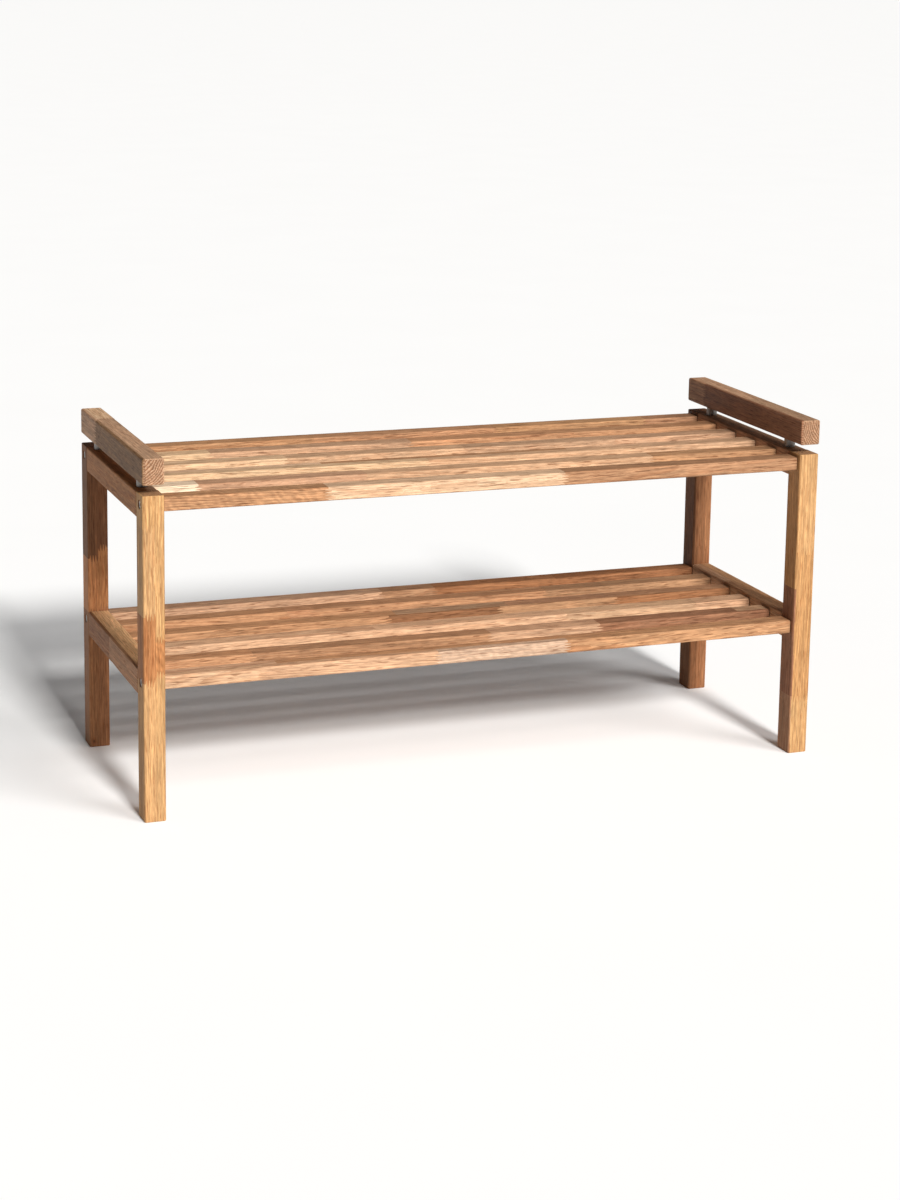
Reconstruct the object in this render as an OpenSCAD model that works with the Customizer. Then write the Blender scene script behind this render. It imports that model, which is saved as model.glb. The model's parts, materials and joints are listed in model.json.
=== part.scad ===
// Slatted entryway bench: two end frames, six seat slats, six shelf slats, two raised arm bars.
// X runs along the bench, the front faces -Y, Z is up, and the feet stand on Z = 0.

/* [Bench] */
// Length over the legs
bench_len = 1000; // [800:10:1200]
// Depth over the legs, front to back
bench_depth = 375; // [375:1:400]
// Height of the legs and of the seat rails' tops
frame_h = 450; // [420:5:480]
// Height of the shelf rails' tops
shelf_rail_top = 206; // [150:1:260]

/* [Timber] */
// Thickness of the legs, rails and arm bars along the bench
stock_w = 30; // [28:1:34]
// Width of the same stock: leg depth, and height of the rails and arm bars
stock_d = 36; // [34:1:36]
// Rounding of the frame's long edges
frame_round = 3; // [1:0.5:4]
// Rounding at the ends of every piece
end_round = 1.5; // [0.5:0.5:2]

/* [Slats] */
// Width of one slat
slat_w = 30; // [28:1:34]
// Thickness of one slat
slat_t = 19; // [18:0.5:20]
// Setback of the outer slats from the legs' front and rear faces
slat_setback = 7.5; // [6:0.5:9]
// How far the slat tops lie below the rail tops
slat_drop = 5; // [4:0.5:7]
// Gap between a slat's end and the end frame
slat_end_gap = 0.5; // [0.3:0.1:1]
// Rounding of a slat's long edges
slat_round = 2.5; // [1:0.5:3]

/* [Arm bars] */
// Clear gap between a seat rail and its arm bar
arm_gap = 14; // [10:1:20]
// Outside diameter of the metal spacers
spacer_d = 16; // [14:0.5:18]
// Front spacer's axis behind the front face of the legs
spacer_front = 62; // [58:1:62]
// Distance between the two spacers of one bar
spacer_pitch = 258; // [250:1:258]

/* [Fasteners] */
// Bolt shank diameter
bolt_d = 6; // [5:0.5:6]
// Bolt head diameter
head_d = 12; // [10:0.5:12]
// Bolt head height
head_h = 5; // [4:0.5:5]
// Hex socket across its flats
socket_af = 4; // [3:0.5:5]
// Shank length of the bolts that hold the slats
frame_bolt_len = 60; // [55:1:65]
// Shank length of the bolts that hold the arm bars
arm_bolt_len = 60; // [56:1:62]
// Barrel nut diameter
nut_d = 10; // [9:0.5:12]
// Barrel nut length
nut_len = 14; // [13:0.5:15]
// Distance of a barrel nut from the slat's end
nut_inset = 30; // [25:1:32]
// Outside diameter of the threaded inserts in the arm bars
insert_d = 10; // [9:0.5:11]
// Length of the threaded inserts
insert_len = 15; // [12:0.5:15]
// Wooden dowel diameter
dowel_d = 8; // [6:0.5:8]
// Wooden dowel length
dowel_len = 25; // [20:0.5:25]
// Rise of each rail dowel above or below the rail's centre line
dowel_rise = 10; // [9:0.5:11]

/* [Hidden] */
$fn = 32;
SLATS = 6;
CLEAR = 0.05;          // radial clearance of a pin or a thread in its hole
HOLE_CLEAR = 0.5;      // radial clearance of a shank in a through hole, and spare depth
HEAD_RECESS = 1.2;     // bolt heads sit this far below the wood
SOCKET_DEPTH = 2.5;
SPACER_EDGE = 0.5;     // bevel at the ends of a spacer
EPS = 0.01;

arm_h = stock_d;
leg_x = bench_len / 2 - stock_w / 2;
leg_y = bench_depth / 2 - stock_d / 2;
inner_x = bench_len / 2 - stock_w;
rail_len = bench_depth - 2 * stock_d;
slat_len = 2 * (inner_x - slat_end_gap);
slat_first_y = -bench_depth / 2 + slat_setback + slat_w / 2;
slat_pitch = (bench_depth - 2 * slat_setback - slat_w) / (SLATS - 1);
arm_z = frame_h + arm_gap;
spacer_ys = [for (i = [0, 1]) -bench_depth / 2 + spacer_front + i * spacer_pitch];
bore_d = bolt_d + 2 * HOLE_CLEAR;
counterbore_d = head_d + 2 * HOLE_CLEAR;
counterbore_h = head_h + HEAD_RECESS;

LEFT = -1;
RIGHT = 1;
FRONT = -1;
REAR = 1;

function slat_y(n) = slat_first_y + (SLATS - n) * slat_pitch;   // slat 1 is the rear one
function slat_z(rail_top) = rail_top - slat_drop - slat_t / 2;
function rail_z(rail_top) = rail_top - stock_d / 2;

// ---- plain shapes ----

module rounded_rect(a, b, r) {
    square([a - 2 * r, b], center = true);
    square([a, b - 2 * r], center = true);
    for (x = [-1, 1], y = [-1, 1]) translate([x * (a / 2 - r), y * (b / 2 - r)]) circle(r);
}

// A centred length of timber along Z: long edges rounded by r, end edges by end_round
module timber(a, b, len, r) {
    intersection() {
        translate([0, 0, -len / 2]) linear_extrude(len) rounded_rect(a, b, r);
        translate([0, b / 2, 0]) rotate([90, 0, 0]) linear_extrude(b) rounded_rect(a, len, end_round);
        translate([-a / 2, 0, 0]) rotate([90, 0, 90]) linear_extrude(a) rounded_rect(b, len, end_round);
    }
}

module timber_along_x(len, w, h, r) { rotate([0, 90, 0]) timber(h, w, len, r); }
module timber_along_y(len, w, h, r) { rotate([90, 0, 0]) timber(w, h, len, r); }

// A rod from the origin along +Z
module rod(d, len) { cylinder(d = d, h = len); }

// Hex-socket bolt: head below the origin, shank along +Z
module bolt(len) {
    difference() {
        union() {
            translate([0, 0, -head_h]) cylinder(d = head_d, h = head_h);
            translate([0, 0, -EPS]) cylinder(d = bolt_d, h = len + EPS);
        }
        translate([0, 0, -head_h - EPS]) cylinder(d = socket_af * 2 / sqrt(3), h = SOCKET_DEPTH + EPS, $fn = 6);
    }
}

// Hole for that bolt's head and shank, open below
module bolt_hole(len) {
    translate([0, 0, -counterbore_h - EPS]) cylinder(d = counterbore_d, h = counterbore_h + EPS);
    translate([0, 0, -EPS]) cylinder(d = bore_d, h = len + EPS);
}

// Turns +Z to point inwards from an end frame: +X on the left, -X on the right
module inwards(side) { rotate([0, -side * 90, 0]) children(); }

// ---- places of the fasteners ----

// Origin under the head of the bolt through one leg
module at_leg_bolt(side, end, rail_top) {
    translate([side * (bench_len / 2 - counterbore_h), end * leg_y, slat_z(rail_top)]) inwards(side) children();
}

// Origin under the head of one arm bolt, inside the seat rail
module at_arm_bolt(side, y) {
    translate([side * leg_x, y, frame_h - stock_d + counterbore_h]) children();
}

// Centre of each dowel between a rail and its legs, along Y
module at_rail_dowels(side, rail_top) {
    for (end = [FRONT, REAR], rise = [-1, 1])
        translate([side * leg_x, end * rail_len / 2, rail_z(rail_top) + rise * dowel_rise])
            rotate([90, 0, 0]) children();
}

// Centre of the dowel in one end of a middle slat, along X
module at_slat_dowel(side, n, rail_top) {
    translate([side * inner_x, slat_y(n), slat_z(rail_top)]) rotate([0, 90, 0]) children();
}

module dowel_pin() { cylinder(d = dowel_d, h = dowel_len, center = true); }
module dowel_hole() {
    cylinder(d = dowel_d + 2 * CLEAR, h = dowel_len + 2 * HOLE_CLEAR, center = true);
}

// ---- timber parts ----

module leg(side, end) {
    color("#D2A06B") difference() {
        translate([side * leg_x, end * leg_y, frame_h / 2]) timber(stock_w, stock_d, frame_h, frame_round);
        for (top = [frame_h, shelf_rail_top]) {
            at_leg_bolt(side, end, top) bolt_hole(stock_w);
            at_rail_dowels(side, top) dowel_hole();
        }
    }
}

module rail(side, rail_top) {
    color("#9A7350") difference() {
        translate([side * leg_x, 0, rail_z(rail_top)])
            timber_along_y(rail_len, stock_w, stock_d, frame_round);
        at_rail_dowels(side, rail_top) dowel_hole();
        for (n = [2:SLATS - 1]) at_slat_dowel(side, n, rail_top) dowel_hole();
        if (rail_top == frame_h) for (y = spacer_ys) at_arm_bolt(side, y) bolt_hole(stock_d);
    }
}

module slat(n, rail_top) {
    color("#C79A70") difference() {
        translate([0, slat_y(n), slat_z(rail_top)]) timber_along_x(slat_len, slat_w, slat_t, slat_round);
        if (n == 1 || n == SLATS) {
            for (side = [LEFT, RIGHT]) {
                at_leg_bolt(side, n == 1 ? REAR : FRONT, rail_top) rod(bore_d, frame_bolt_len + HOLE_CLEAR);
                at_barrel_nut(side, n == 1 ? REAR : FRONT, rail_top, 1)
                    rod(nut_d + 2 * CLEAR, slat_t / 2 + nut_len / 2 + HOLE_CLEAR + EPS);
            }
        } else {
            for (side = [LEFT, RIGHT]) at_slat_dowel(side, n, rail_top) dowel_hole();
        }
    }
}

module arm_bar(side) {
    color("#8B674A") difference() {
        translate([side * leg_x, 0, arm_z + arm_h / 2])
            timber_along_y(bench_depth, stock_w, arm_h, frame_round);
        for (y = spacer_ys) translate([side * leg_x, y, arm_z - EPS]) {
            rod(insert_d + 2 * CLEAR, insert_len + EPS);
            rod(bore_d, arm_bolt_len + counterbore_h - stock_d - arm_gap + HOLE_CLEAR + EPS);
        }
    }
}

// ---- metal parts and dowels ----

module arm_spacer(side, y) {
    r = spacer_d / 2;
    inner_r = r - SPACER_EDGE;
    color("#9B9B98") translate([side * leg_x, y, frame_h]) rotate_extrude()
        polygon([[bore_d / 2, 0], [inner_r, 0], [r, SPACER_EDGE], [r, arm_gap - SPACER_EDGE],
                 [inner_r, arm_gap], [bore_d / 2, arm_gap]]);
}

module arm_bolts() {
    color("#8E8E8C") for (side = [LEFT, RIGHT], y = spacer_ys) at_arm_bolt(side, y) bolt(arm_bolt_len);
}

module arm_inserts() {
    color("#B8995A") for (side = [LEFT, RIGHT], y = spacer_ys)
        translate([side * leg_x, y, arm_z]) difference() {
            rod(insert_d, insert_len);
            translate([0, 0, -EPS]) rod(bolt_d + 2 * CLEAR, insert_len + 2 * EPS);
        }
}

module frame_bolts(rail_top) {
    color("#A8A8A4") for (side = [LEFT, RIGHT], end = [FRONT, REAR])
        at_leg_bolt(side, end, rail_top) bolt(frame_bolt_len);
}

// Underside of the slat (drop = 1) or foot of the nut (drop = 0), on the nut's axis
module at_barrel_nut(side, end, rail_top, drop) {
    z = slat_z(rail_top) - (drop == 1 ? slat_t / 2 + EPS : nut_len / 2);
    translate([side * (inner_x - slat_end_gap - nut_inset), end * leg_y, z]) children();
}

module barrel_nuts(rail_top) {
    color("#A8A8A4") for (side = [LEFT, RIGHT], end = [FRONT, REAR]) difference() {
        at_barrel_nut(side, end, rail_top, 0) rod(nut_d, nut_len);
        at_leg_bolt(side, end, rail_top) rod(bolt_d + 2 * CLEAR, frame_bolt_len * 2);
    }
}

module rail_dowels(rail_top) {
    color("#D9BC92") for (side = [LEFT, RIGHT]) at_rail_dowels(side, rail_top) dowel_pin();
}

module slat_dowels(rail_top) {
    color("#D9BC92") for (side = [LEFT, RIGHT], n = [2:SLATS - 1]) at_slat_dowel(side, n, rail_top) dowel_pin();
}

// ---- the bench ----

leg(LEFT, FRONT);  // leg_front_left
leg(RIGHT, FRONT);  // leg_front_right
leg(LEFT, REAR);  // leg_rear_left
leg(RIGHT, REAR);  // leg_rear_right
rail(LEFT, frame_h);  // seat_rail_left
rail(RIGHT, frame_h);  // seat_rail_right
rail(LEFT, shelf_rail_top);  // shelf_rail_left
rail(RIGHT, shelf_rail_top);  // shelf_rail_right
for (n = [1:SLATS]) {
    slat(n, frame_h);
    slat(n, shelf_rail_top);
}
arm_bar(LEFT);  // arm_bar_left
arm_bar(RIGHT);  // arm_bar_right
arm_spacer(LEFT, spacer_ys[0]);  // arm_spacer_front_left
arm_spacer(RIGHT, spacer_ys[0]);  // arm_spacer_front_right
arm_spacer(LEFT, spacer_ys[1]);  // arm_spacer_rear_left
arm_spacer(RIGHT, spacer_ys[1]);  // arm_spacer_rear_right
arm_bolts();
arm_inserts();
frame_bolts(frame_h);  // seat_bolts
frame_bolts(shelf_rail_top);  // shelf_bolts
barrel_nuts(frame_h);  // seat_barrel_nuts
barrel_nuts(shelf_rail_top);  // shelf_barrel_nuts
rail_dowels(frame_h);  // seat_rail_dowels
rail_dowels(shelf_rail_top);  // shelf_rail_dowels
slat_dowels(frame_h);  // seat_slat_dowels
slat_dowels(shelf_rail_top);  // shelf_slat_dowels
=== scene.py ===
import json
import math
import random
from collections import namedtuple

import bmesh
import bpy
from mathutils import Matrix, Vector


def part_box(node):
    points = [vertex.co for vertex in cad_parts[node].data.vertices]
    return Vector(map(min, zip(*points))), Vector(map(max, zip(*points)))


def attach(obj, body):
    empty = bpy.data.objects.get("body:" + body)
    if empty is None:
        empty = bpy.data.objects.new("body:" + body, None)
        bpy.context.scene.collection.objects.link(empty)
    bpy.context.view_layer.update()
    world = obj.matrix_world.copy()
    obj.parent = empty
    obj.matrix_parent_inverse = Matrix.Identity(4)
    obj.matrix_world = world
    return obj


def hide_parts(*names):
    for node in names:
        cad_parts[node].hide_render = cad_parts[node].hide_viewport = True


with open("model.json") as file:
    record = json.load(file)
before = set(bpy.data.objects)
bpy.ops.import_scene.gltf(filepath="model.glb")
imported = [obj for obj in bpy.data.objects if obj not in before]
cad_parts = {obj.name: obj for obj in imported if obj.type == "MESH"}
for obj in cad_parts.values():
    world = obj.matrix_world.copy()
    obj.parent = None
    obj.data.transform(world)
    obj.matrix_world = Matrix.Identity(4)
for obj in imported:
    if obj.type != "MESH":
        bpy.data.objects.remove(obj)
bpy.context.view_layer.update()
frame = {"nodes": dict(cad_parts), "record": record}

MM = 0.001
SAME = 1e-6                   # metres; two places nearer to each other than this are the same
FAR = 1.0                     # metres; further than any glue line or joint

# ---------------------------------------------------------------- what the boards are glued from

# Colours of the staves, linear. Where a board's comment says so, a tone also carries painted light
# or painted shade
TONES = {
    "cream": (0.62, 0.48, 0.34),
    "pale": (0.48, 0.32, 0.195),
    "tan": (0.42, 0.26, 0.152),
    "fawn": (0.375, 0.225, 0.135),
    "rose": (0.38, 0.226, 0.134),
    "russet": (0.336, 0.177, 0.09),
    "gold": (0.40, 0.231, 0.102),
    "honey": (0.36, 0.19, 0.079),
    "orange": (0.31, 0.137, 0.052),
    "brown": (0.285, 0.153, 0.082),
    "blush": (0.39, 0.262, 0.182),
    "walnut": (0.188, 0.102, 0.051),
    "umber": (0.21, 0.1, 0.054),
    "chestnut": (0.25, 0.112, 0.05),
    "amber": (0.42, 0.185, 0.075),
    "bark": (0.16, 0.073, 0.034),
    # painted light: brighter than the rail's wood, so that the left shelf rail's top looks lit
    "painted_light_straw": (0.58, 0.35, 0.175),
    "dun": (0.305, 0.188, 0.112),
}
HOLE_TONE = "umber"

# Staves of each board, one list per lamina. A stave is the place where it starts, in mm from the
# board's low end, its tone and, if it's curly, how strong the curl is.
# Where a comment below says so, staves or thin laminae carry painted light or painted shade as well
# as the wood's tone
STAVES = {
    "seat_slat_1": [[(0, "russet"), (310, "russet"), (600, "russet"), (850, "brown")]],
    "seat_slat_2": [[(0, "pale"), (135, "rose"), (440, "russet"), (700, "russet")]],
    "seat_slat_3": [[(0, "pale"), (230, "tan"), (500, "fawn"), (740, "rose")]],
    "seat_slat_4": [[(0, "pale"), (420, "tan"), (755, "tan")],
                    [(0, "pale"), (265, "russet"), (640, "tan")]],
    "seat_slat_5": [[(0, "cream"), (65, "rose"), (305, "tan"), (740, "russet")]],
    "seat_slat_6": [[(0, "russet", 0.9), (228, "pale"), (575, "brown")]],
    "shelf_slat_1": [[(0, "fawn"), (420, "brown"), (505, "chestnut"), (705, "chestnut")]],
    "shelf_slat_2": [[(0, "russet"), (250, "russet"), (290, "russet"), (660, "brown")]],
    "shelf_slat_3": [[(0, "russet"), (385, "bark"), (560, "brown"), (750, "chestnut")],
                     [(0, "russet"), (398, "dun"), (574, "brown"), (739, "brown")]],
    "shelf_slat_4": [[(0, "tan"), (343, "tan"), (640, "tan"), (850, "tan")]],
    "shelf_slat_5": [
        [(0, "russet"), (142, "brown"), (494, "rose"), (664, "umber"), (910, "umber")],
        [(0, "russet"), (142, "brown"), (494, "rose"), (664, "umber"), (888, "fawn")]],
    "shelf_slat_6": [[(0, "tan"), (137, "tan"), (390, "blush", 0.5), (585, "russet")],
                     [(0, "tan"), (160, "russet"), (376, "russet")]],
    "leg_front_left": [[(0, "gold"), (194, "orange"), (285, "gold"), (405, "gold")],
                       [(0, "gold"), (205, "orange", 1.0), (253, "gold")]],
    # partly painted shade: the thin first lamina, along the inner side, is darker from 88 to 250
    # mm, round the shelf; this is partly the wood's darker tone and partly painted shade on that
    # side
    "leg_front_right": [[(0, "brown"), (88, "umber"), (250, "honey")],
                        [(0, "gold"), (83, "honey"), (305, "gold")]],
    # painted shade: the leg is darker below 205 mm, in the shade under the shelf, and from 285 mm
    # up, in the seat's shadow, than in the band between
    "leg_rear_left": [[(0, "chestnut"), (205, "amber"), (285, "bark")],
                      [(0, "chestnut"), (212, "amber"), (300, "bark")]],
    # painted shade: the thin first lamina, along the leg's inner side, is made darker to stand for
    # the shade on that side
    "leg_rear_right": [[(0, "bark"), (185, "bark")], [(0, "chestnut"), (230, "chestnut")]],
    "arm_bar_left": [[(0, "walnut", 0.3), (280, "fawn")], [(0, "fawn"), (290, "pale")]],
    # painted shade: the thin first lamina, along the arm's inner side, is made darker to stand for
    # the shade on that side
    "arm_bar_right": [[(0, "umber"), (318, "brown")], [(0, "dun"), (180, "rose")]],
    "seat_rail_left": [[(0, "orange", 0.3), (180, "orange")], [(0, "tan")]],
    # painted light: the second lamina, most of the rail's top, is made lighter and greyer to stand
    # for light reflected onto the top in the arm bar's shadow
    "seat_rail_right": [[(0, "russet")], [(0, "fawn"), (140, "dun")]],
    # painted light: the second lamina, which is most of the rail's top and its inner side, is made
    # lighter to stand for light on the top, which lies in the front leg's shadow
    "shelf_rail_left": [[(0, "russet"), (170, "chestnut")], [(0, "painted_light_straw"), (210, "painted_light_straw")]],
    "shelf_rail_right": [[(0, "russet"), (190, "rose")], [(0, "russet")]],
}

# Glue lines between laminae that don't lie near the middle: mm from the centre of the section
SPLITS = {
    # a thin lamina along the inner side, which carries partly painted shade
    "leg_front_right": [-12.8],
    # a thin lamina along the inner side, for painted shade on that side
    "leg_rear_right": [-12.4],
    # a thin lamina along the inner side, for painted shade on that side
    "arm_bar_right": [-11],
    "arm_bar_left": [-11],
    # leaves most of the rail's top on the second lamina, which carries painted light
    "shelf_rail_left": [-11],
    # leaves most of the rail's top on the second lamina, which carries painted light
    "seat_rail_right": [-11],
    "shelf_slat_3": [-12],
    "shelf_slat_5": [-9],
}
SPLIT_STRAY = 2.5             # mm that the other glue lines stray from their even places

# Knots of a board: place along it in mm from its low end, two places across its section in mm
# from the centre, and radius in mm
KNOTS = {"shelf_slat_2": [(247, -15, -5, 4)], "leg_rear_left": [(9, -9, -18, 2)]}
KNOT_STRETCH = 1.7            # how much longer a knot is along the grain
NO_KNOT = Vector((100.0, 100.0, 100.0))       # in knot radii, nowhere near a knot
NO_SEAM = Vector((FAR, FAR, FAR))

# How staves of one tone differ
SHADE_RANGE = (0.96, 1.04)
TINT_RANGE = (0.98, 1.02)
PITH_RANGE = (25, 75)         # mm from the centre of the board to the middle of the growth rings
SLOPE_RANGE = (-0.03, 0.03)   # how far the grain runs off sideways
SHIFT_RANGE = (1, 9)          # metres along the noise, so that no two staves look alike

# ---------------------------------------------------------------- the boards' shape

FINGER_PITCH = 3.8 * MM
FINGER_HALF = 5.0 * MM        # half the length of a finger
# The corners of one finger: place along the pitch, and which way the corner points
FINGER_SHAPE = [(0.0, 1), (0.14, 1), (0.5, -1), (0.64, -1)]
SPLIT_CLEAR = 0.2 * FINGER_PITCH    # no finger corner lies nearer to a glue line than this
SIDE_CLEAR = 0.3 * MM         # nor nearer to the end of a flat side than this
JOINT_CLEAR = 2.2 * FINGER_HALF     # no plain ring lies nearer to a joint than this

EDGE_ROUND = 2.8 * MM
SLAT_EDGE_ROUND = 2.3 * MM
EDGE_VARIES = (0.82, 1.12)    # least and most rounding of a sanded edge, over its nominal one
END_ROUND = 1.4 * MM
ARC_STEPS = 5                 # segments in each rounded corner
END_STEPS = 3                 # rings in each rounded end
EASE_STEP = 45 * MM           # spacing of the rings where an edge's rounding varies
CREASE = math.radians(38)     # edges sharper than this are hard

HOLE_SEGMENTS = 40
CUTTER_LEAD = 1 * MM          # how far a cutter starts outside its hole
# Holes as steps: the radius of each, and how deep it ends
HEAD_HOLE = (6.5 * MM, 6.2 * MM)
BOLT_HOLE = [HEAD_HOLE, (3.5 * MM, 29 * MM)]
ARM_BOLT_HOLE = [HEAD_HOLE, (3.5 * MM, 35 * MM)]
NUT_HOLE = [(5.05 * MM, 15 * MM)]
NUT_RADIUS = 5 * MM

Ring = namedtuple("Ring", "at inset corner joint")
RingVertex = namedtuple("RingVertex", "vert u a b")
Layers = namedtuple("Layers", "tone end_grain curl grain seam knot")


def kind_of(node):
    """How a board lies and is glued.

    along is the axis of its length, a the axis its laminae are stacked on, and b the third.
    fingers is the axis along which the fingers are seen side by side.
    """
    if node.startswith("leg"):
        return dict(along=2, a=0, b=1, radius=EDGE_ROUND, fingers="a")
    if "slat" in node:
        return dict(along=0, a=1, b=2, radius=SLAT_EDGE_ROUND, fingers="b")
    if node.startswith("arm"):
        return dict(along=1, a=0, b=2, radius=EDGE_ROUND, fingers="b")
    return dict(along=1, a=0, b=2, radius=EDGE_ROUND, fingers="a")


def middle(node):
    low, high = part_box(node)
    return (low + high) / 2


def finger_marks(half, splits):
    """Places along a side where a ring needs a vertex: the finger corners and the glue lines."""
    turns = int(half / FINGER_PITCH) + 1
    marks = [((k + part) * FINGER_PITCH, sign)
             for k in range(-turns, turns + 1) for part, sign in FINGER_SHAPE]
    marks = [m for m in marks if all(abs(m[0] - s) > SPLIT_CLEAR for s in splits)]
    return sorted(marks + [(s, 0) for s in splits])


def side_marks(half, radius, marks):
    """Ends of a flat side, with the marks that fit between them."""
    end = half - radius
    inside = [m for m in marks if abs(m[0]) < end - SIDE_CLEAR]
    return [(-end, 0)] + inside + [(end, 0)]


def section(half_a, half_b, corner, marks_a, marks_b, inset):
    """Closed ring of (a, b, finger sign) round a rounded rectangle.

    Every ring of a board has as many points, whatever its corner and inset are.
    """
    r = corner - inset
    end_a, end_b = half_a - corner, half_b - corner
    ring = []

    def flat(points, place, end):
        for n, (t, sign) in enumerate(points):
            t = math.copysign(end, t) if n in (0, len(points) - 1) else t
            ring.append((*place(t), sign))

    def arc(ca, cb, start):
        for k in range(1, ARC_STEPS):
            angle = start + math.pi / 2 * k / ARC_STEPS
            ring.append((ca + r * math.cos(angle), cb + r * math.sin(angle), 0))

    flat(marks_a, lambda t: (t, -half_b + inset), end_a)
    arc(end_a, -end_b, -math.pi / 2)
    flat(marks_b, lambda t: (half_a - inset, t), end_b)
    arc(end_a, end_b, 0)
    flat(marks_a[::-1], lambda t: (t, half_b - inset), end_a)
    arc(-end_a, end_b, math.pi / 2)
    flat(marks_b[::-1], lambda t: (-half_a + inset, t), end_b)
    arc(-end_a, -end_b, math.pi)
    return ring


def ring_places(length, joints, rng, radius):
    """Every ring of a board, from its low end to its high end."""
    rings = []
    for k in range(END_STEPS, -1, -1):
        t = math.pi / 2 * k / END_STEPS
        at, inset = END_ROUND * (1 - math.sin(t)), END_ROUND * (1 - math.cos(t))
        rings.append(Ring(at, inset, radius, False))
    high_end = [ring._replace(at=length - ring.at) for ring in rings[::-1]]
    inner = [(at, True) for at in joints]
    steps = int(length / EASE_STEP)
    for k in range(1, steps):
        at = length * k / steps
        if all(abs(at - joint) > JOINT_CLEAR for joint in joints):
            inner.append((at, False))
    for at, joint in sorted(inner):
        rings.append(Ring(at, 0.0, radius * rng.uniform(*EDGE_VARIES), joint))
    return rings + high_end


class Stave:
    """Colour and grain of one stave."""

    def __init__(self, rng, tone, curl=0.0):
        shade = rng.uniform(*SHADE_RANGE)
        self.curl = curl
        self.colour = [c * shade * rng.uniform(*TINT_RANGE) for c in TONES[tone]] + [1.0]
        turn, far = rng.uniform(0, 2 * math.pi), rng.uniform(*PITH_RANGE) * MM
        self.pith = (far * math.cos(turn), far * math.sin(turn))
        self.slope = (rng.uniform(*SLOPE_RANGE), rng.uniform(*SLOPE_RANGE))
        self.shift = rng.uniform(*SHIFT_RANGE)

    def grain(self, u, a, b):
        """A place along the grain and two across it, from the pith."""
        across = a - self.pith[0] + self.slope[0] * u
        return Vector((u + self.shift, across, b - self.pith[1] + self.slope[1] * u))


def knot_vector(node, u, a, b):
    """Offset from the nearest knot of a board, in knot radii, squeezed along the grain."""
    best = NO_KNOT
    for at, knot_a, knot_b, size in KNOTS.get(node, []):
        v = Vector(((u / MM - at) / (size * KNOT_STRETCH),
                    (a / MM - knot_a) / size, (b / MM - knot_b) / size))
        best = v if v.length < best.length else best
    return best


def add_layers(bm):
    """The layers that the oak reads: colour, end grain and curl of a face, the rest of a corner."""
    of_face, of_corner = bm.faces.layers, bm.loops.layers
    return Layers(
        of_face.float_color.new("tone"), of_face.float.new("end_grain"), of_face.float.new("curl"),
        *[of_corner.float_vector.new(name) for name in ("grain", "seam", "knot")])


def finish_mesh(bm, name):
    """Turns the faces outwards and makes the mesh."""
    bmesh.ops.recalc_face_normals(bm, faces=bm.faces)
    mesh = bpy.data.meshes.new(name)
    bm.to_mesh(mesh)
    bm.free()
    return mesh


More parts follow.
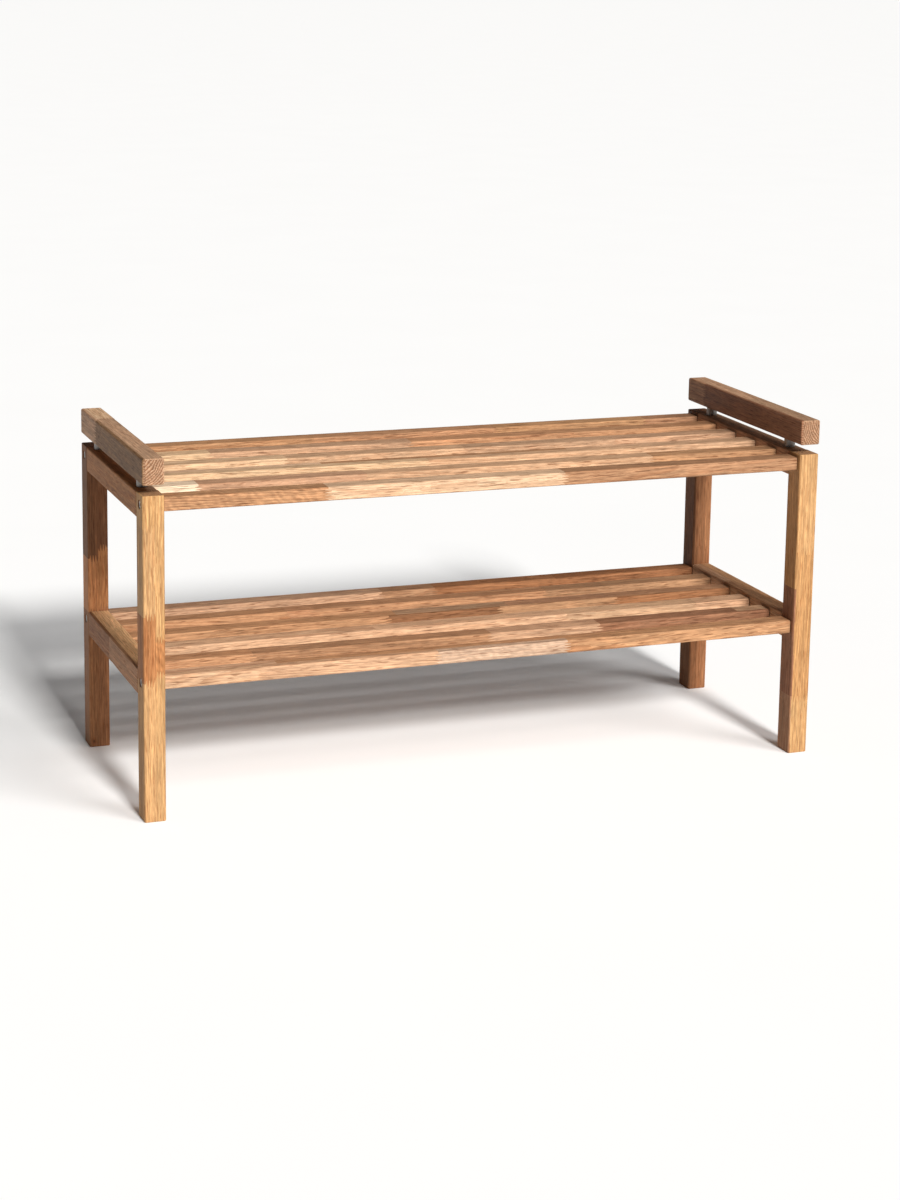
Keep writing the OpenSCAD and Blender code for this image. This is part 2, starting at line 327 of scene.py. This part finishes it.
class Board:
    """A board of glued staves in the place and size of its CAD node.

    A place on it is u along it from its low end, and a and b across it from its centre.
    """

    def __init__(self, node):
        kind = kind_of(node)
        self.node = node
        self.axes = kind["along"], kind["a"], kind["b"]
        along, a_axis, b_axis = self.axes
        low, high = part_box(node)
        self.low, self.centre = low[along], middle(node)
        self.length = high[along] - low[along]
        self.half_a = (high[a_axis] - low[a_axis]) / 2
        self.half_b = (high[b_axis] - low[b_axis]) / 2
        self.laminae = STAVES[node]

        # the order of these draws settles the looks of every stave and edge
        rng = random.Random("oak " + node)
        self.splits = self.glue_lines(rng)
        self.staves = [[Stave(rng, *stave[1:]) for stave in lamina] for lamina in self.laminae]
        starts = {stave[0] * MM for lamina in self.laminae for stave in lamina}
        self.rings = ring_places(self.length, sorted(starts - {0.0}), rng, kind["radius"])

        self.marks = self.ring_marks(kind)
        self.bm = bmesh.new()
        self.layers = add_layers(self.bm)
        self.rows = [self.add_ring(ring) for ring in self.rings]

    def glue_lines(self, rng):
        """Where the laminae meet."""
        count = len(self.laminae)
        lines = [self.half_a * 2 * k / count - self.half_a
                 + (rng.uniform(-SPLIT_STRAY, SPLIT_STRAY) * MM) for k in range(1, count)]
        return [s * MM for s in SPLITS[self.node]] if self.node in SPLITS else lines

    def ring_marks(self, kind):
        """Vertices along the sides that run on axis a, and along those that run on axis b."""
        radius = kind["radius"] * EDGE_VARIES[1]
        if kind["fingers"] == "a":
            marks_a, marks_b = finger_marks(self.half_a, self.splits), []
        else:
            marks_a, marks_b = [(s, 0) for s in self.splits], finger_marks(self.half_b, [])
        return side_marks(self.half_a, radius, marks_a), side_marks(self.half_b, radius, marks_b)

    def lamina_at(self, a):
        return sum(a > s for s in self.splits)

    def stave_at(self, lam, u):
        starts = [stave[0] * MM for stave in self.laminae[lam]]
        return max(k for k, start in enumerate(starts) if start <= u + SAME)

    def stave_starts(self, lam, u):
        return any(abs(stave[0] * MM - u) < SAME for stave in self.laminae[lam])

    def add_ring(self, ring):
        """The vertices of one ring, drawn out into fingers where its own lamina has a joint."""
        along, a_axis, b_axis = self.axes
        row = []
        for a, b, sign in section(self.half_a, self.half_b, ring.corner, *self.marks, ring.inset):
            jointed = ring.joint and self.stave_starts(self.lamina_at(a), ring.at)
            u = ring.at + (sign * FINGER_HALF if jointed else 0.0)
            place = Vector()
            place[along] = self.low + u
            place[a_axis], place[b_axis] = self.centre[a_axis] + a, self.centre[b_axis] + b
            row.append(RingVertex(self.bm.verts.new(place), u, a, b))
        return row

    def joint_at(self, lam, k, j):
        """Where the joint before stave k of a lamina lies at ring vertex j, if there is one."""
        if k in (0, len(self.laminae[lam])):
            return None
        at = self.laminae[lam][k][0] * MM
        rows = [row for ring, row in zip(self.rings, self.rows)
                if ring.joint and abs(ring.at - at) < SAME]
        return rows[0][j].u

    def paint(self, face, lam, k, end_grain, corners):
        """Gives a face its stave's looks. A corner is (ring vertex, joint before, joint after)."""
        stave, layers = self.staves[lam][k], self.layers
        face[layers.tone] = stave.colour
        face[layers.end_grain] = end_grain
        face[layers.curl] = stave.curl
        for loop, (corner, before, after) in zip(face.loops, corners):
            _, u, a, b = corner
            loop[layers.grain] = stave.grain(u, a, b)
            loop[layers.seam] = Vector((
                min([abs(a - s) for s in self.splits] + [FAR]),
                FAR if before is None else u - before,
                FAR if after is None else after - u))
            loop[layers.knot] = knot_vector(self.node, u, a, b)

    def add_sides(self):
        count = len(self.rows[0])
        for n in range(len(self.rings) - 1):
            halfway = (self.rings[n].at + self.rings[n + 1].at) / 2
            for j in range(count):
                i = (j + 1) % count
                lam = self.lamina_at((self.rows[n][j].a + self.rows[n][i].a) / 2)
                k = self.stave_at(lam, halfway)
                picks = [(n, j), (n, i), (n + 1, i), (n + 1, j)]
                face = self.bm.faces.new([self.rows[p][q].vert for p, q in picks])
                self.paint(face, lam, k, 0.0, [
                    (self.rows[p][q], self.joint_at(lam, k, q), self.joint_at(lam, k + 1, q))
                    for p, q in picks])

    def add_ends(self):
        bounds = [-FAR] + self.splits + [FAR]
        for row, at_low_end in ((self.rows[0], True), (self.rows[-1], False)):
            for lam, lamina in enumerate(self.laminae):
                inside = [v for v in row if bounds[lam] - SAME <= v.a <= bounds[lam + 1] + SAME]
                face = self.bm.faces.new([v.vert for v in inside])
                k = 0 if at_low_end else len(lamina) - 1
                self.paint(face, lam, k, 1.0, [(v, None, None) for v in inside])

    def mesh(self):
        self.add_sides()
        self.add_ends()
        return finish_mesh(self.bm, self.node + "_staves")


def hole_cutter(holes):
    """Closed turned cutters. Each hole is its mouth, its direction and its steps."""
    bm = bmesh.new()
    layers = add_layers(bm)
    for mouth, direction, steps in holes:
        turn = direction.to_track_quat("Z", "Y").to_matrix()
        profile = [(steps[0][0], -CUTTER_LEAD), steps[0]]
        for (_, top), (radius, bottom) in zip(steps, steps[1:]):
            profile += [(radius, top), (radius, bottom)]
        rows = []
        for radius, depth in profile:
            ring = []
            for k in range(HOLE_SEGMENTS):
                angle = 2 * math.pi * k / HOLE_SEGMENTS
                rim = Vector((radius * math.cos(angle), radius * math.sin(angle), depth))
                ring.append(bm.verts.new(mouth + turn @ rim))
            rows.append(ring)
        for upper, lower in zip(rows, rows[1:]):
            for k in range(HOLE_SEGMENTS):
                i = (k + 1) % HOLE_SEGMENTS
                bm.faces.new([upper[k], upper[i], lower[i], lower[k]])
        bm.faces.new(rows[0][::-1])
        bm.faces.new(rows[-1])
    for face in bm.faces:
        face[layers.tone] = TONES[HOLE_TONE] + (1.0,)
        for loop in face.loops:
            loop[layers.grain] = loop.vert.co
            loop[layers.seam] = NO_SEAM
            loop[layers.knot] = NO_KNOT
    return bpy.data.objects.new("cutter", finish_mesh(bm, "cutter"))


def drill(piece, holes):
    """Cuts the holes into the piece's mesh for good."""
    cutter = hole_cutter(holes)
    bpy.context.scene.collection.objects.link(cutter)
    cut = piece.modifiers.new("holes", "BOOLEAN")
    cut.operation, cut.solver, cut.object = "DIFFERENCE", "EXACT", cutter
    graph = bpy.context.evaluated_depsgraph_get()
    mesh = bpy.data.meshes.new_from_object(
        piece.evaluated_get(graph), preserve_all_data_layers=True, depsgraph=graph)
    piece.modifiers.remove(cut)
    piece.data = mesh
    bpy.data.objects.remove(cutter)


def holes_of(node):
    """The holes that show on a board."""
    low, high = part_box(node)
    upward = Vector((0, 0, 1))
    if node.startswith("leg"):
        side = math.copysign(1, middle(node).x)
        mouth_x = high.x if side > 0 else low.x
        heights = [middle("seat_slat_6").z, middle("shelf_slat_6").z]
        return [(Vector((mouth_x, middle(node).y, z)), Vector((-side, 0, 0)), BOLT_HOLE)
                for z in heights]
    if node.startswith("seat_rail"):
        side = node.rsplit("_", 1)[1]
        spacers = [middle("arm_spacer_front_" + side), middle("arm_spacer_rear_" + side)]
        return [(Vector((s.x, s.y, low.z)), upward, ARM_BOLT_HOLE) for s in spacers]
    if node.endswith(("slat_1", "slat_6")):
        nut_low, nut_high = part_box(node.split("_")[0] + "_barrel_nuts")
        leg_y = middle("leg_rear_left" if node.endswith("1") else "leg_front_left").y
        places = [nut_low.x + NUT_RADIUS, nut_high.x - NUT_RADIUS]
        return [(Vector((x, leg_y, low.z)), upward, NUT_HOLE) for x in places]
    return []


def sharpen(mesh):
    """Marks hard edges, so that hole rims stay crisp and rounded edges stay smooth."""
    bm = bmesh.new()
    bm.from_mesh(mesh)
    for edge in bm.edges:
        edge.smooth = len(edge.link_faces) == 2 and edge.calc_face_angle(0) < CREASE
    for face in bm.faces:
        face.smooth = True
    bm.to_mesh(mesh)
    bm.free()


def coat(piece, material):
    """Makes this the piece's only material."""
    piece.data.materials.clear()
    piece.data.materials.append(material)


def make_board(node, material):
    piece = bpy.data.objects.new(node + "_oak", Board(node).mesh())
    bpy.context.scene.collection.objects.link(piece)
    holes = holes_of(node)
    if holes:
        drill(piece, holes)
    coat(piece, material)
    normals = piece.modifiers.new("normals", "WEIGHTED_NORMAL")
    normals.keep_sharp = True
    sharpen(piece.data)
    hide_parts(node)
    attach(piece, "root")


# ---------------------------------------------------------------- node trees

MIX_A, MIX_B, MIX_RESULT = 6, 7, 2    # the colour sockets of a Mix node


class Nodes:
    """A short way to write a material's node tree."""

    def __init__(self, name):
        self.material = bpy.data.materials.new(name)
        self.material.use_nodes = True
        self.tree = self.material.node_tree
        self.tree.nodes.clear()
        self.shader = self.add("ShaderNodeBsdfPrincipled")
        output = self.add("ShaderNodeOutputMaterial")
        self.link(self.shader.outputs[0], output.inputs["Surface"])

    def add(self, kind, **values):
        node = self.tree.nodes.new(kind)
        for key, value in values.items():
            setattr(node, key, value)
        return node

    def link(self, source, socket):
        self.tree.links.new(source, socket)

    def put(self, socket, value):
        if isinstance(value, bpy.types.NodeSocket):
            self.link(value, socket)
        else:
            socket.default_value = value

    def attribute(self, name, output="Vector"):
        return self.add("ShaderNodeAttribute", attribute_name=name).outputs[output]

    def math(self, operation, a, b=0.0, c=0.0):
        node = self.add("ShaderNodeMath", operation=operation)
        for socket, value in zip(node.inputs, (a, b, c)):
            self.put(socket, value)
        return node.outputs[0]

    def length(self, vector):
        node = self.add("ShaderNodeVectorMath", operation="LENGTH")
        self.put(node.inputs[0], vector)
        return node.outputs["Value"]

    def scaled(self, vector, scale):
        node = self.add("ShaderNodeVectorMath", operation="MULTIPLY")
        self.put(node.inputs[0], vector)
        node.inputs[1].default_value = scale
        return node.outputs[0]

    def split(self, vector):
        node = self.add("ShaderNodeSeparateXYZ")
        self.put(node.inputs[0], vector)
        return node.outputs

    def join(self, x, y=0.0, z=0.0):
        node = self.add("ShaderNodeCombineXYZ")
        for socket, value in zip(node.inputs, (x, y, z)):
            self.put(socket, value)
        return node.outputs[0]

    def noise(self, vector, scale, detail=2.0, rough=0.5, distortion=0.0):
        """Noise from 0 to 1. scale is its cells per metre on each axis."""
        node = self.add("ShaderNodeTexNoise")
        self.put(node.inputs["Vector"], self.scaled(vector, scale))
        node.inputs["Scale"].default_value = 1.0
        node.inputs["Detail"].default_value = detail
        node.inputs["Roughness"].default_value = rough
        node.inputs["Distortion"].default_value = distortion
        return node.outputs["Fac"]

    def ramp(self, value, low, high, to_low=0.0, to_high=1.0, smooth=True):
        kind = "SMOOTHSTEP" if smooth else "LINEAR"
        node = self.add("ShaderNodeMapRange", interpolation_type=kind)
        for socket, v in zip(node.inputs, (value, low, high, to_low, to_high)):
            self.put(socket, v)
        return node.outputs[0]

    def mix(self, kind, factor, a, b):
        node = self.add("ShaderNodeMix", data_type="RGBA", blend_type=kind)
        self.put(node.inputs["Factor"], factor)
        self.put(node.inputs[MIX_A], a)
        self.put(node.inputs[MIX_B], b)
        return node.outputs[MIX_RESULT]

    def shade(self, colour, factor):
        """colour times factor."""
        node = self.add("ShaderNodeVectorMath", operation="SCALE")
        self.put(node.inputs[0], colour)
        self.put(node.inputs["Scale"], factor)
        return node.outputs[0]

    def tint(self, colour, mask, tint, amount):
        """colour, multiplied by the tint to that amount where the mask is 1."""
        tinted = self.mix("MULTIPLY", 1.0, colour, tint)
        return self.mix("MIX", self.math("MULTIPLY", mask, amount), colour, tinted)

    def bump(self, height, strength, distance):
        node = self.add("ShaderNodeBump")
        self.put(node.inputs["Height"], height)
        node.inputs["Strength"].default_value = strength
        node.inputs["Distance"].default_value = distance
        self.link(node.outputs[0], self.shader.inputs["Normal"])


# ---------------------------------------------------------------- oak

# Noises: cells per metre along the grain and twice across it, detail, roughness, distortion
OAK_NOISES = {
    "wander": ((6, 30, 30), 2.0),             # long bends of the growth rings
    "wobble": ((22, 160, 160), 2.0),          # short bends of the growth rings
    "fade": ((5, 40, 40), 1.0),               # where the growth rings show
    "cloud": ((7, 75, 75), 3.0, 0.55),
    "mottle": ((42, 150, 150), 2.0, 0.5, 0.8),
    "streak": ((8, 360, 360), 4.0, 0.66),
    "fibre": ((60, 2600, 2600), 2.0, 0.6),
    "fleck": ((55, 620, 620), 2.0, 0.6),
    "dash": ((38, 760, 760), 1.0, 0.5),
    "glint": ((20, 520, 520), 1.0, 0.5, 0.4),
    "pore": ((150, 3400, 3400), 1.0, 0.5),
    "band": ((45, 80, 80), 3.0),              # what bends the bands of curly grain
}
# The part of a noise's range that is spread over 0 to 1, evenly or with soft ends
EVEN_RANGES = {"cloud": (0.25, 0.75), "streak": (0.32, 0.68), "mottle": (0.3, 0.7),
               "fleck": (0.3, 0.7)}
SOFT_RANGES = {"dash": (0.59, 0.67), "glint": (0.52, 0.66), "pore": (0.58, 0.66)}
# What each layer does to the brightness: the factor is the first number times the layer, plus
# the second
OAK_SHADES = {
    "cloud": (0.25, 0.905),
    "streak": (0.50, 0.78),
    "mottle": (0.12, 0.94),
    "fleck": (0.38, 0.81),
    "fibre": (0.24, 0.89),
    "glint": (0.17, 0.97),
    "curl": (0.17, 1.0),
    "late": (-0.26, 1.0),
}
DASH_SHARE = 1 / 8            # of the surface; the rest is lightened to make up for the dashes
# What each layer does to the relief
OAK_RELIEF = {"fibre": 0.25, "streak": 0.2, "dash": -0.25, "pore": -0.8, "glue": -0.5}

RINGS_PER_METRE = 300.0
RING_STRAYS = {"wander": 0.014, "wobble": 0.0012}     # metres
KNOT_REACH = (0.6, 3.4)       # knot radii within which the growth rings bend round a knot
KNOT_BEND = 0.0075            # metres
LATE_WOOD = (0.25, 0.92)      # the part of a ring over which the wood darkens
EARLY_WOOD = (0.0, 0.34)      # the part with open pores
PORES_IN_LATE_WOOD = 0.25
RING_FADE = (0.35, 0.65, 0.25, 1.0)
RINGS_ON_SIDES, RINGS_ON_ENDS = 0.6, 1.7
CURL_WAVES = 420.0            # radians per metre
CURL_BEND = 15.0              # radians
CURL_FADE = (0.35, 0.6, 0.4, 1.0)

END_TONE, END_TONE_SHARE = (0.28, 0.172, 0.106, 1.0), 0.65
# Tints and how strong they are: late wood and dashes, pores, the ring round a knot, glue
DEEP_TINT = (0.90, 0.60, 0.42, 1.0), 0.55
PORE_TINT = (0.42, 0.30, 0.22, 1.0), 0.62
HALO_TINT = (0.66, 0.42, 0.26, 1.0), 0.55
GLUE_TINT = (0.45, 0.34, 0.26, 1.0), 0.24
KNOT_COLOUR, KNOT_SHARE = (0.055, 0.028, 0.014, 1.0), 0.8
HALO_EDGE = (0.9, 2.4)        # knot radii
KNOT_EDGE = (0.35, 0.95)      # knot radii
GLUE_EDGE = (0.00008, 0.00038)        # metres
RAY_SCALE = (60.0, 90.0)      # rays on the end grain: cells per radian, and per metre of radius
RAY_RANGE = (0.5, 0.66)
RAY_SHARE, RAY_SHADE = 0.5, 1.3

OAK_SPECULAR = 0.12
ROUGH_STREAKS = 0.16
ROUGH_PORES = 0.2
ROUGHEST = 0.9
OAK_BUMP = (0.35, 0.00025)


def growth_rings(n, grain, noise, knot, end):
    """Distance from the pith, the dark late wood and the porous early wood."""
    _, across, up = n.split(grain)
    squares = n.math("ADD", n.math("POWER", across, 2.0), n.math("POWER", up, 2.0))
    radius = n.math("SQRT", squares)
    for layer, stray in RING_STRAYS.items():
        bend = n.math("MULTIPLY_ADD", noise[layer], stray, -stray / 2)
        radius = n.math("ADD", radius, bend)
    near_knot = n.ramp(knot, *KNOT_REACH, 1.0, 0.0)
    radius = n.math("ADD", radius, n.math("MULTIPLY", near_knot, KNOT_BEND))
    ring = n.math("FRACT", n.math("MULTIPLY", radius, RINGS_PER_METRE))
    on_sides = n.math("MULTIPLY", n.ramp(noise["fade"], *RING_FADE), RINGS_ON_SIDES)
    fade = n.math("MAXIMUM", on_sides, n.math("MULTIPLY", end, RINGS_ON_ENDS))
    late = n.math("MULTIPLY", n.ramp(ring, *LATE_WOOD), fade)
    return radius, late, n.ramp(ring, *EARLY_WOOD, 1.0, 0.0)


def curly_grain(n, grain, noise, curly):
    """Bands of light and dark across the grain of a curly stave."""
    along, across, up = n.split(grain)
    sideways = n.math("MULTIPLY", n.math("ADD", across, up), CURL_WAVES)
    phase = n.math("MULTIPLY_ADD", along, CURL_WAVES, sideways)
    band = n.math("SINE", n.math("MULTIPLY_ADD", noise["band"], CURL_BEND, phase))
    return n.math("MULTIPLY", n.math("MULTIPLY", band, curly), n.ramp(noise["streak"], *CURL_FADE))


def end_rays(n, grain, radius, end):
    """Light rays from the pith outwards, on the end grain."""
    _, across, up = n.split(grain)
    per_radian, per_metre = RAY_SCALE
    round_pith = n.math("MULTIPLY", n.math("ARCTAN2", up, across), per_radian)
    rays = n.noise(n.join(round_pith, n.math("MULTIPLY", radius, per_metre)), (1, 1, 1), 1.0)
    return n.math("MULTIPLY", n.ramp(rays, *RAY_RANGE), end)


def oak(name, roughness, dashes):
    """Oiled oak: growth rings, fibres, open pores, ray flecks, curl, knots and glue lines.

    dashes is how much darker the dashes of open grain are.
    """
    n = Nodes(name)
    grain, tone = n.attribute("grain"), n.attribute("tone", "Color")
    end, curly = n.attribute("end_grain", "Fac"), n.attribute("curl", "Fac")
    knot = n.length(n.attribute("knot"))
    noise = {layer: n.noise(grain, *values) for layer, values in OAK_NOISES.items()}

    # layers from 0 to 1
    radius, late, early = growth_rings(n, grain, noise, knot, end)
    layers = {layer: n.ramp(noise[layer], *span, smooth=False)
              for layer, span in EVEN_RANGES.items()}
    layers |= {layer: n.ramp(noise[layer], *span) for layer, span in SOFT_RANGES.items()}
    layers |= {"fibre": noise["fibre"], "late": late, "curl": curly_grain(n, grain, noise, curly)}
    porous = n.math("MULTIPLY_ADD", early, 1.0 - PORES_IN_LATE_WOOD, PORES_IN_LATE_WOOD)
    layers["pore"] = n.math("MULTIPLY", layers["pore"], porous)
    to_glue = n.split(n.attribute("seam"))
    nearest = n.math("MINIMUM", to_glue[0], n.math("MINIMUM", to_glue[1], to_glue[2]))
    layers["glue"] = n.ramp(nearest, *GLUE_EDGE, 1.0, 0.0)

    # colour
    value = 1.0
    for layer, factor in (OAK_SHADES | {"dash": (-dashes, 1.0 + dashes * DASH_SHARE)}).items():
        value = n.math("MULTIPLY", value, n.math("MULTIPLY_ADD", layers[layer], *factor))
    tone = n.mix("MIX", n.math("MULTIPLY", end, END_TONE_SHARE), tone, END_TONE)
    colour = n.shade(tone, value)
    colour = n.tint(colour, n.math("MAXIMUM", late, layers["dash"]), *DEEP_TINT)
    colour = n.tint(colour, layers["pore"], *PORE_TINT)
    colour = n.tint(colour, n.ramp(knot, *HALO_EDGE, 1.0, 0.0), *HALO_TINT)
    core = n.math("MULTIPLY", n.ramp(knot, *KNOT_EDGE, 1.0, 0.0), KNOT_SHARE)
    colour = n.mix("MIX", core, colour, KNOT_COLOUR)
    rays = n.math("MULTIPLY", end_rays(n, grain, radius, end), RAY_SHARE)
    colour = n.mix("MIX", rays, colour, n.shade(colour, RAY_SHADE))
    colour = n.tint(colour, layers["glue"], *GLUE_TINT)
    n.link(colour, n.shader.inputs["Base Color"])

    # gloss and relief
    rough = n.math("MULTIPLY_ADD", noise["streak"], ROUGH_STREAKS, roughness - ROUGH_STREAKS / 2)
    rough = n.math("ADD", rough, n.math("MULTIPLY", layers["pore"], ROUGH_PORES))
    n.link(n.math("MINIMUM", rough, ROUGHEST), n.shader.inputs["Roughness"])
    n.shader.inputs["Specular IOR Level"].default_value = OAK_SPECULAR
    layers["streak"] = noise["streak"]
    height = 0.0
    for layer, depth in OAK_RELIEF.items():
        height = n.math("MULTIPLY_ADD", layers[layer], depth, height)
    n.bump(height, *OAK_BUMP)
    return n.material


# ---------------------------------------------------------------- metals and dowels

# Two noises, each with the share of the brightness that it varies, and what's left without them
METAL_LINES, METAL_CLOUD, METAL_REST = 0.35, 0.3, 0.68
METAL_CLOUD_SCALE = (90, 90, 90)
METAL_ROUGH_LINES = 0.2
METAL_BUMP = (0.3, 0.00008)

BEECH = (0.62, 0.43, 0.27)
BEECH_FIBRES, BEECH_FLECKS, BEECH_REST = 0.3, 0.2, 0.75
BEECH_FIBRE_SCALE, BEECH_FLECK_SCALE = (900, 900, 900), (2500, 2500, 2500)
BEECH_ROUGH_FIBRES, BEECH_ROUGHNESS = 0.2, 0.55
BEECH_BUMP = (0.3, 0.0001)


def metal(name, colour, roughness, brush):
    """Brushed or plated metal. brush is the scale of its lines along X, Y and Z, per metre."""
    n = Nodes(name)
    place = n.add("ShaderNodeTexCoord").outputs["Object"]
    lines = n.noise(place, brush, 3.0, 0.6)
    cloud = n.noise(place, METAL_CLOUD_SCALE)
    value = n.math("MULTIPLY_ADD", cloud, METAL_CLOUD, METAL_REST)
    value = n.math("MULTIPLY_ADD", lines, METAL_LINES, value)
    n.link(n.shade(colour, value), n.shader.inputs["Base Color"])
    n.shader.inputs["Metallic"].default_value = 1.0
    rough = n.math("MULTIPLY_ADD", lines, METAL_ROUGH_LINES, roughness - METAL_ROUGH_LINES / 2)
    n.link(rough, n.shader.inputs["Roughness"])
    n.bump(lines, *METAL_BUMP)
    return n.material


def dowel_wood(name):
    """Plain beech for the dowels."""
    n = Nodes(name)
    place = n.add("ShaderNodeTexCoord").outputs["Object"]
    fibre = n.noise(place, BEECH_FIBRE_SCALE, 3.0, 0.6)
    fleck = n.noise(place, BEECH_FLECK_SCALE, 1.0)
    value = n.math("MULTIPLY_ADD", fleck, BEECH_FLECKS, BEECH_REST)
    value = n.math("MULTIPLY_ADD", fibre, BEECH_FIBRES, value)
    n.link(n.shade(BEECH, value), n.shader.inputs["Base Color"])
    rough = n.math("MULTIPLY_ADD", fibre, BEECH_ROUGH_FIBRES, BEECH_ROUGHNESS)
    n.link(rough, n.shader.inputs["Roughness"])
    n.bump(fibre, *BEECH_BUMP)
    return n.material


# ---------------------------------------------------------------- studio

CAMERA_PLACE = (-1.2563, -3.3565, 1.1791)
CAMERA_YAW = math.radians(20.509)
CAMERA_PITCH = math.radians(-10.861)
CAMERA_ROLL = math.radians(0.891)
CAMERA_LENS = 75.79
CAMERA_SENSOR = 36.0
CAMERA_SHIFT_Y = -0.15

# Name, azimuth, elevation, strength, spread and colour of each light, with angles in degrees
SUNS = [
    ("key", 3, 30, 4.3, 9, (1.0, 0.99, 0.97)),
    ("side", 36, 38, 1.5, 25, (1.0, 0.99, 0.98)),
]
FLOOR_HALF = 80.0             # half the side of the square floor, in metres
FLOOR_COLOUR = (0.93, 0.93, 0.93)
FLOOR_CLOUD = 0.02
FLOOR_CLOUD_SCALE = (3, 3, 3)
FLOOR_ROUGHNESS = 0.85
WORLD_LIGHT = (0.118, 0.119, 0.12, 1.0)
BACKDROP = (0.93, 0.93, 0.93, 1.0)    # what shows past the floor


def make_camera():
    data = bpy.data.cameras.new("camera")
    data.lens = CAMERA_LENS
    data.sensor_width = CAMERA_SENSOR
    data.shift_y = CAMERA_SHIFT_Y
    camera = bpy.data.objects.new("camera", data)
    bpy.context.scene.collection.objects.link(camera)
    aim = Matrix.Rotation(-CAMERA_YAW, 4, "Z") @ Matrix.Rotation(math.pi / 2 + CAMERA_PITCH, 4, "X")
    roll = Matrix.Rotation(CAMERA_ROLL, 4, "Z")
    camera.matrix_world = Matrix.Translation(CAMERA_PLACE) @ aim @ roll
    bpy.context.scene.camera = camera


def make_sun(name, azimuth, elevation, strength, spread, colour):
    """A far light. Azimuth is to the right of straight ahead, seen from the front."""
    data = bpy.data.lights.new(name, "SUN")
    data.energy, data.angle, data.color = strength, math.radians(spread), colour
    light = bpy.data.objects.new(name, data)
    bpy.context.scene.collection.objects.link(light)
    a, e = math.radians(azimuth), math.radians(elevation)
    towards = Vector((math.sin(a) * math.cos(e), -math.cos(a) * math.cos(e), math.sin(e)))
    light.rotation_euler = towards.to_track_quat("Z", "Y").to_euler()


def make_world():
    """A dim sky that fills the shadows, with a pale backdrop where the floor ends."""
    world = bpy.data.worlds.new("studio")
    bpy.context.scene.world = world
    world.use_nodes = True
    tree = world.node_tree
    seen = tree.nodes.new("ShaderNodeLightPath").outputs["Is Camera Ray"]
    mix = tree.nodes.new("ShaderNodeMix")
    mix.data_type = "RGBA"
    mix.inputs[MIX_A].default_value = WORLD_LIGHT
    mix.inputs[MIX_B].default_value = BACKDROP
    tree.links.new(seen, mix.inputs["Factor"])
    tree.links.new(mix.outputs[MIX_RESULT], tree.nodes["Background"].inputs["Color"])


def make_floor():
    mesh = bpy.data.meshes.new("floor")
    corners = [(-1, -1), (1, -1), (1, 1), (-1, 1)]
    places = [(x * FLOOR_HALF, y * FLOOR_HALF, 0.0) for x, y in corners]
    mesh.from_pydata(places, [], [(0, 1, 2, 3)])
    floor = bpy.data.objects.new("floor", mesh)
    bpy.context.scene.collection.objects.link(floor)
    n = Nodes("floor")
    place = n.add("ShaderNodeTexCoord").outputs["Object"]
    cloud = n.noise(place, FLOOR_CLOUD_SCALE)
    value = n.math("MULTIPLY_ADD", cloud, FLOOR_CLOUD, 1.0 - FLOOR_CLOUD / 2)
    n.link(n.shade(FLOOR_COLOUR, value), n.shader.inputs["Base Color"])
    n.shader.inputs["Roughness"].default_value = FLOOR_ROUGHNESS
    coat(floor, n.material)


def make_studio():
    make_camera()
    for values in SUNS:
        make_sun(*values)
    make_world()
    bpy.context.scene.view_settings.view_transform = "Standard"
    make_floor()


# ---------------------------------------------------------------- the bench

make_studio()

OAKS = {
    "frame_oak": oak("frame_oak", roughness=0.60, dashes=0.24),
    "slat_oak": oak("slat_oak", roughness=0.64, dashes=0.48),
    "arm_oak": oak("arm_oak", roughness=0.58, dashes=0.40),
}
FITTINGS = {
    "spacer_steel": metal("spacer_steel", (0.24, 0.222, 0.205), 0.46, (60, 60, 3500)),
    "bolt_steel": metal("bolt_steel", (0.60, 0.59, 0.57), 0.36, (900, 900, 900)),
    "insert_brass": metal("insert_brass", (0.70, 0.52, 0.24), 0.34, (900, 900, 900)),
    "dowel_beech": dowel_wood("dowel_beech"),
}
for part in frame["record"]["subparts"]:
    name, slot_name = part["node"], part["material_slot"]
    if slot_name in OAKS:
        make_board(name, OAKS[slot_name])
    else:
        coat(frame["nodes"][name], FITTINGS[slot_name])
